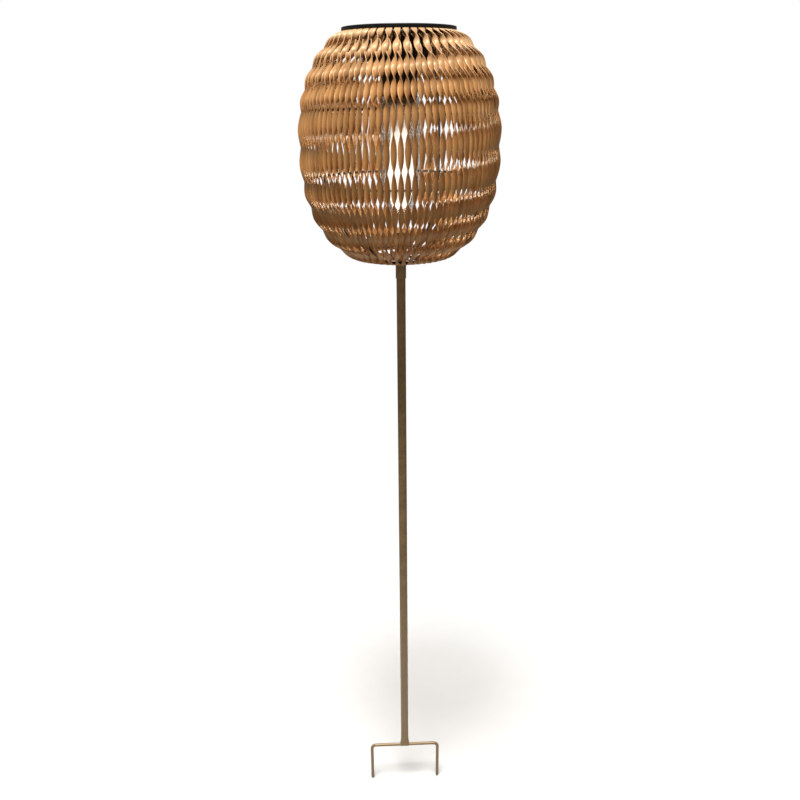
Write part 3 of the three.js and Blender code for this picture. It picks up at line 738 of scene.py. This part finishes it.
def add_shade_frame():
    """The four wire hoops and the ribs inside them."""
    names = ("top_hoop", "upper_hoop", "lower_hoop", "bottom_hoop")
    for name, z in zip(names, HOOP_HEIGHTS):
        centre = barrel_point(z, -HOOP_INSET)
        ring = bar(circle(centre.x, centre.y, 144), HOOP_WIRE, 14, closed=True)
        add_piece(f"{name}_wire", *ring, "frame_paint", "shade", name)
    for index in range(RIBS):
        wire = bar(rib_path(index), HOOP_WIRE, 12, round_ends=True)
        add_piece(f"rib_wire_{index + 1}", *wire, "frame_paint", "shade", f"frame_rib_{index + 1}")


def add_sleeve():
    """Socket tube with softened lips and a closed top, and a bead of weld at the end of each rib."""
    low, high = bottom_of("socket_sleeve"), top_of("socket_sleeve")
    outer, bore = half_width("socket_sleeve"), POLE_RADIUS + SLEEVE_GAP
    ceiling = high - 2 * MM
    outline = [(bore, low), (outer, low), (outer, high), (0, high), (0, ceiling), (bore, ceiling)]
    welds = []
    for index in range(RIBS):
        bead = blob((2.2 * MM, 2.6 * MM, 2.3 * MM))
        welds.append(moved(bead, around(rib_angle(index), outer, SPOKE_Z)))
    tube = turned(rounded(outline, 0.35 * MM), 64)
    piece = add_piece("sleeve", *joined(tube, *welds), "bronze_paint", "shade", "socket_sleeve")
    sharpen(piece, 40)


def blob(radii, segments=16, rings=8):
    """A small ellipsoid of weld metal with a slightly rippled surface."""
    profile = [(0, -1)]
    profile += [(cos(a), sin(a)) for a in (pi * (k / rings - 0.5) for k in range(1, rings))]
    profile.append((0, 1))
    vertices, faces = turned(profile, segments)
    shaped = []
    for x, y, z in vertices:
        ripple = 1 + 0.06 * sin(9 * atan2(y, x)) * (1 - z * z)
        shaped.append((radii[0] * x * ripple, radii[1] * y * ripple, radii[2] * z))
    return shaped, faces


# ---- Stake: pole, fork and welds ----


def add_pole():
    """Steel tube whose foot is swaged out over the crossbar."""
    foot, top = bottom_of("pole_tube"), top_of("pole_tube")
    wide = half_width("pole_tube")
    outer = []
    for k in range(13):
        t = k / 12
        outer.append((wide - (wide - POLE_RADIUS) * t * t * (3 - 2 * t), foot + POLE_FLARE * t))
    straight = top - foot - POLE_FLARE
    outer += [(POLE_RADIUS, foot + POLE_FLARE + straight * k / 40) for k in range(1, 41)]
    inner = [(radius - POLE_WALL, z) for radius, z in reversed(outer)]
    piece = add_piece("pole", *turned(outer + inner, 64), "bronze_paint", "stake", "pole_tube")
    sharpen(piece, 40)


def fork_path():
    """Centre line of the fork's wire: up one prong, across and down the other, with round bends."""
    half = half_width("ground_fork") - FORK_WIRE
    tip = bottom_of("ground_fork") + FORK_WIRE
    level = top_of("ground_fork") - FORK_WIRE
    left = [(-half, tip + (level - FORK_BEND - tip) * k / 8) for k in range(9)]
    bend = [pi - pi / 2 * k / 10 for k in range(1, 11)]
    left += [(-half + FORK_BEND + FORK_BEND * cos(a), level - FORK_BEND + FORK_BEND * sin(a)) for a in bend]
    across = [((-half + FORK_BEND) * (1 - k / 6), level) for k in range(1, 7)]
    path = left + across
    path += [(-x, z) for x, z in reversed(path[:-1])]
    return [(x, 0, z) for x, z in path]


def add_fork():
    """Fork bent from one wire, and a row of weld beads in front of the pole's foot and behind it."""
    wire = bar(fork_path(), FORK_WIRE, 24, round_ends=True)
    add_piece("fork", *wire, "bronze_paint", "stake", "ground_fork")
    for name, side in (("front", -1), ("rear", 1)):
        node = f"foot_weld_{name}"
        pitch, reach, height = 2.6 * MM, 3.0 * MM, top_of(node) - 1.6 * MM
        beads = []
        for k in range(5):
            bead = blob((2.3 * MM, 1.9 * MM, 1.8 * MM))
            beads.append(moved(bead, Matrix.Translation(((k - 2) * pitch, side * reach, height))))
        add_piece(f"weld_{name}", *joined(*beads), "bronze_paint", "stake", node)


# ---- Lamp ----


def screw_angles():
    return [radians(30 + 360 / SCREWS * k) for k in range(SCREWS)]


def add_lid():
    """Round black lid with soft edges: recess for the cell above and a skirt below."""
    low, high = bottom_of("lid_frame") + SKIRT_DEPTH, top_of("lid_frame")
    radius = half_width("lid_frame")
    recess = half_width("cell_cover") + 0.3 * MM
    floor = low + LID_FLOOR
    outline = [
        (LEAD_HOLE, low),
        (SKIRT_INNER, low),
        (SKIRT_INNER, low - SKIRT_DEPTH),
        (SKIRT_OUTER, low - SKIRT_DEPTH),
        (SKIRT_OUTER, low),
        (radius, low),
        (radius, high),
        (recess, high),
        (recess, floor),
        (LEAD_HOLE, floor),
    ]
    body = turned(rounded(outline, 1.1 * MM, 5), 128)
    piece = add_piece("lid", *body, "black_plastic", "lamp", "lid_frame")
    sharpen(piece, 34)


def add_window():
    """Clear solar window with a soft edge."""
    low, high = bottom_of("cell_cover"), top_of("cell_cover")
    radius = half_width("cell_cover")
    outline = [(0, low), (radius, low), (radius, high), (0, high)]
    pane = turned(rounded(outline, 0.8 * MM, 5), 128)
    piece = add_piece("solar_window", *pane, "clear_plastic", "lamp", "cell_cover")
    sharpen(piece, 34)


def add_can():
    """Electronics can: shrouded screw flange, switch slot, and the spigot that carries the globe."""
    top, spigot = top_of("electronics_can"), bottom_of("electronics_can")
    flange = top - FLANGE_THICKNESS
    shroud = half_width("electronics_can")
    wall, lead_hole = 2 * MM, 3.4 * MM
    outline = [
        (lead_hole, CAN_BASE),
        (SPIGOT_INNER, CAN_BASE),
        (SPIGOT_INNER, spigot),
        (SPIGOT_OUTER, spigot),
        (SPIGOT_OUTER, CAN_BASE),
        (CAN_OUTER, CAN_BASE),
        (CAN_OUTER, flange),
        (shroud - wall, flange),
        (shroud - wall, SHROUD_BOTTOM),
        (shroud, SHROUD_BOTTOM),
        (shroud, top),
        (GROOVE_OUTER, top),
        (GROOVE_OUTER, top - GROOVE_DEPTH),
        (GROOVE_INNER, top - GROOVE_DEPTH),
        (GROOVE_INNER, top),
        (CAN_INNER, top),
        (CAN_INNER, CAN_BASE + wall),
        (lead_hole, CAN_BASE + wall),
    ]
    bore, past = 1.75 * MM, MM
    holes = []
    for angle in screw_angles():
        x, y = SCREW_CIRCLE * cos(angle), SCREW_CIRCLE * sin(angle)
        holes.append(post(bore, flange - past, top + past, x, y))
    body = cut(turned(rounded(outline, 0.5 * MM), 96), switch_slot(), *holes)
    piece = add_piece("can", *body, "black_plastic", "lamp", "electronics_can")
    sharpen(piece)


def switch_slot():
    """The tool that cuts the can's slot, with room round the knob and for its travel."""
    low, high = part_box("switch_knob")
    clearance, travel = 0.4 * MM, 3 * MM
    near = (17 * MM, low[1] - clearance, low[2] - clearance)
    far = (25 * MM, high[1] + clearance, high[2] + travel + clearance)
    return block(near, far)


def add_screws():
    """Pan-head screws with a cross slot."""
    head, neck, shank, point = 2.8 * MM, 2 * MM, 1.45 * MM, 0.75 * MM
    head_height, slot_depth = 2 * MM, 0.9 * MM
    long, short = 1.8 * MM, 0.35 * MM
    for index, angle in enumerate(screw_angles()):
        node = f"lid_screw_{index + 1}"
        low, high = bottom_of(node), top_of(node)
        outline = [
            (0, low),
            (neck, low),
            (head, low + slot_depth),
            (head, low + head_height),
            (shank, low + head_height),
            (shank, high - MM),
            (point, high),
            (0, high),
        ]
        arms = ((long, short), (short, long))
        slots = [block((-x, -y, low - MM), (x, y, low + slot_depth)) for x, y in arms]
        part = cut(turned(rounded(outline, 0.25 * MM), 32), *slots)
        part = moved(part, around(angle, SCREW_CIRCLE))
        piece = add_piece(f"screw_{index + 1}", *part, "plated_steel", "lamp", node)
        sharpen(piece)


def add_seals():
    """Rubber rings: one in the can's groove under the lid, and one between the can and the globe."""
    rings = (("lid_ring_seal", "lid_seal", GROOVE_INNER), ("globe_ring_seal", "globe_seal", SPIGOT_OUTER))
    for name, node, seat in rings:
        low, high = bottom_of(node), top_of(node)
        inner, outer = seat + 0.3 * MM, half_width(node)
        outline = rounded([(inner, low), (outer, low), (outer, high), (inner, high)], 0.3 * MM)
        add_piece(name, *turned(outline, 96), "rubber_seal", "lamp", node)


def smooth_outline(points, count):
    """A Catmull-Rom curve through the points, count steps to each stretch."""
    knots = [Vector(p) for p in points]
    knots = [2 * knots[0] - knots[1], *knots, 2 * knots[-1] - knots[-2]]
    curve = []
    for a, b, c, d in zip(knots, knots[1:], knots[2:], knots[3:]):
        for k in range(count):
            t = k / count
            square = (2 * a - 5 * b + 4 * c - d) * t**2
            cube = (3 * b - a - 3 * c + d) * t**3
            curve.append(0.5 * (2 * b + (c - a) * t + square + cube))
    curve.append(knots[-2])
    return curve


def add_globe():
    """Clear jar with a thick neck, a nearly straight belly and a round end."""
    top, bottom = top_of("bulb_globe"), bottom_of("bulb_globe")
    belly, wall = half_width("bulb_globe"), 1.6 * MM
    bore = SPIGOT_OUTER + 0.45 * MM
    end_start, belly_top = 0.925, 0.965

    def round_end(inset):
        angles = [-pi / 2 * (1 - k / 16) for k in range(1, 17)]
        width, depth = belly - inset, end_start - bottom - inset
        return [(0, end_start - depth)] + [(width * cos(a), end_start + depth * sin(a)) for a in angles]

    outer = [(belly, belly_top), (25.6 * MM, top - 18 * MM), (24.4 * MM, top - 4 * MM), (24 * MM, top)]
    inner = [(bore, top), (bore, top - 6 * MM), (24 * MM, top - 18 * MM), (belly - wall, belly_top)]
    outline = round_end(0) + outer + inner + round_end(wall)[::-1]
    piece = add_piece("globe", *turned(outline, 72), "clear_plastic", "lamp", "bulb_globe")
    sharpen(piece, 40)


def add_diffuser():
    """White pear that the LED lights from inside, with a flange that sits in the spigot."""
    top, bottom = top_of("light_diffuser"), bottom_of("light_diffuser")
    neck, wall = 11 * MM, 1.2 * MM
    flange, bore = SPIGOT_INNER - 0.3 * MM, neck - wall
    flange_bottom = top - 2.5 * MM

    def pear(inset):
        shape = [(0, bottom), (12.2 * MM, bottom + 12 * MM), (17 * MM, 0.922)]
        shape += [(13.4 * MM, 0.950), (neck, 0.970)]
        return smooth_outline([(max(0, r - inset), z + (inset if r == 0 else 0)) for r, z in shape], 8)

    collar = [(neck, flange_bottom), (flange, flange_bottom), (flange, top), (bore, top)]
    outline = [(max(0.0, r), z) for r, z in pear(0) + collar + pear(wall)[::-1]]
    piece = add_piece("diffuser", *turned(outline, 48), "white_diffuser", "lamp", "light_diffuser")
    sharpen(piece, 40)


def add_switch_knob():
    """Slide knob with a ribbed grip outside the can."""
    low, high = (Vector(corner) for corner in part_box("switch_knob"))
    grip, groove, count = CAN_OUTER + 0.3 * MM, 0.6 * MM, 5
    stem = block(low, (grip, high.y, high.z))
    step = (high.z - low.z) / count
    ribs = []
    for k in range(count):
        z = low.z + k * step
        depth = high.x if k % 2 == 0 else high.x - groove
        ribs.append(block((grip, low.y, z), (depth, high.y, z + step)))
    add_piece("switch_slider", *joined(stem, *ribs), "black_plastic", "switch", "switch_knob", smooth=False)


# ---- Stage, light and camera ----

CAMERA_LENS = 36.05  # millimetres
CAMERA_DISTANCE = 1.0368  # level distance from the pole's axis
CAMERA_HEIGHT = 1.0225
CAMERA_PITCH = 21.3  # degrees, like the three below
CAMERA_AZIMUTH = -2.4
CAMERA_YAW = 0.15
CAMERA_ROLL = -0.52


def add_camera():
    data = bpy.data.cameras.new("camera")
    data.lens = CAMERA_LENS
    camera = bpy.data.objects.new("camera", data)
    azimuth = radians(CAMERA_AZIMUTH)
    x, y = CAMERA_DISTANCE * sin(azimuth), -CAMERA_DISTANCE * cos(azimuth)
    place = Matrix.Translation((x, y, CAMERA_HEIGHT))
    turn = Matrix.Rotation(radians(CAMERA_AZIMUTH + CAMERA_YAW), 4, "Z")
    tilt = Matrix.Rotation(radians(90 - CAMERA_PITCH), 4, "X")
    roll = Matrix.Rotation(radians(CAMERA_ROLL), 4, "Z")
    camera.matrix_world = place @ turn @ tilt @ roll
    bpy.context.scene.collection.objects.link(camera)
    bpy.context.scene.camera = camera


def add_floor():
    """Round sheet of pale paper that fades out before its edge, so that no horizon shows."""
    f = Finish("floor_paper", Roughness=0.9)
    place = f.place()
    fibre = f.noise(place, 30.0, 4.0)
    f.to_shader("Base Color", f.ramp(fibre, [(0.3, (0.425, 0.425, 0.425)), (0.7, (0.435, 0.435, 0.435))]))
    reach = f.add("ShaderNodeVectorMath", {0: place}, operation="LENGTH").outputs["Value"]
    radius, fade_end, fade_start = 1.0, 0.9, 0.3
    values = {"From Min": fade_end, "From Max": fade_start, "To Min": 0.0, "To Max": 1.0}
    f.to_shader("Alpha", f.add("ShaderNodeMapRange", {"Value": reach}, values).outputs["Result"])
    z = cad_box[0][2]
    count = 96
    mesh = bpy.data.meshes.new("floor")
    mesh.from_pydata(circle(radius, z, count), [], [range(count)])
    mesh.materials.append(f.material)
    floor = bpy.data.objects.new("floor", mesh)
    bpy.context.scene.collection.objects.link(floor)


def add_sun(name, elevation, azimuth, strength, softness, colour=(1, 1, 1)):
    """Light from far off: azimuth is measured from the viewer's side, anticlockwise seen from above."""
    data = bpy.data.lights.new(name, "SUN")
    data.energy = strength
    data.angle = radians(softness)
    data.color = colour
    light = bpy.data.objects.new(name, data)
    up, round_z = radians(elevation), radians(azimuth)
    towards = Vector((sin(round_z) * cos(up), -cos(round_z) * cos(up), sin(up)))
    light.rotation_euler = towards.to_track_quat("Z", "Y").to_euler()
    bpy.context.scene.collection.objects.link(light)


def add_light():
    """A broad top light, a weaker one behind, and a white room whose light on the torch is warm and soft."""
    world = bpy.data.worlds.new("studio")
    world.use_nodes = True
    tree = world.node_tree
    seen = tree.nodes.new("ShaderNodeLightPath").outputs["Is Camera Ray"]
    room = tree.nodes.new("ShaderNodeMix")
    room.data_type = "RGBA"
    room.inputs[6].default_value = (0.25, 0.225, 0.19, 1)  # what lights the torch
    room.inputs[7].default_value = (1, 1, 1, 1)  # what the camera sees
    tree.links.new(seen, room.inputs[0])
    tree.links.new(room.outputs[2], tree.nodes["Background"].inputs["Color"])
    bpy.context.scene.world = world
    add_sun("key", 76, -18, 7.2, 22, (1.0, 0.98, 0.95))
    add_sun("back", 45, 165, 1.4, 40)
    bpy.context.scene.view_settings.view_transform = "Standard"


finish_cad_nodes()
add_camera()
add_strips()
add_shade_frame()
add_sleeve()
add_pole()
add_fork()
add_lid()
add_window()
add_can()
add_screws()
add_seals()
add_globe()
add_diffuser()
add_switch_knob()
add_floor()
add_light()
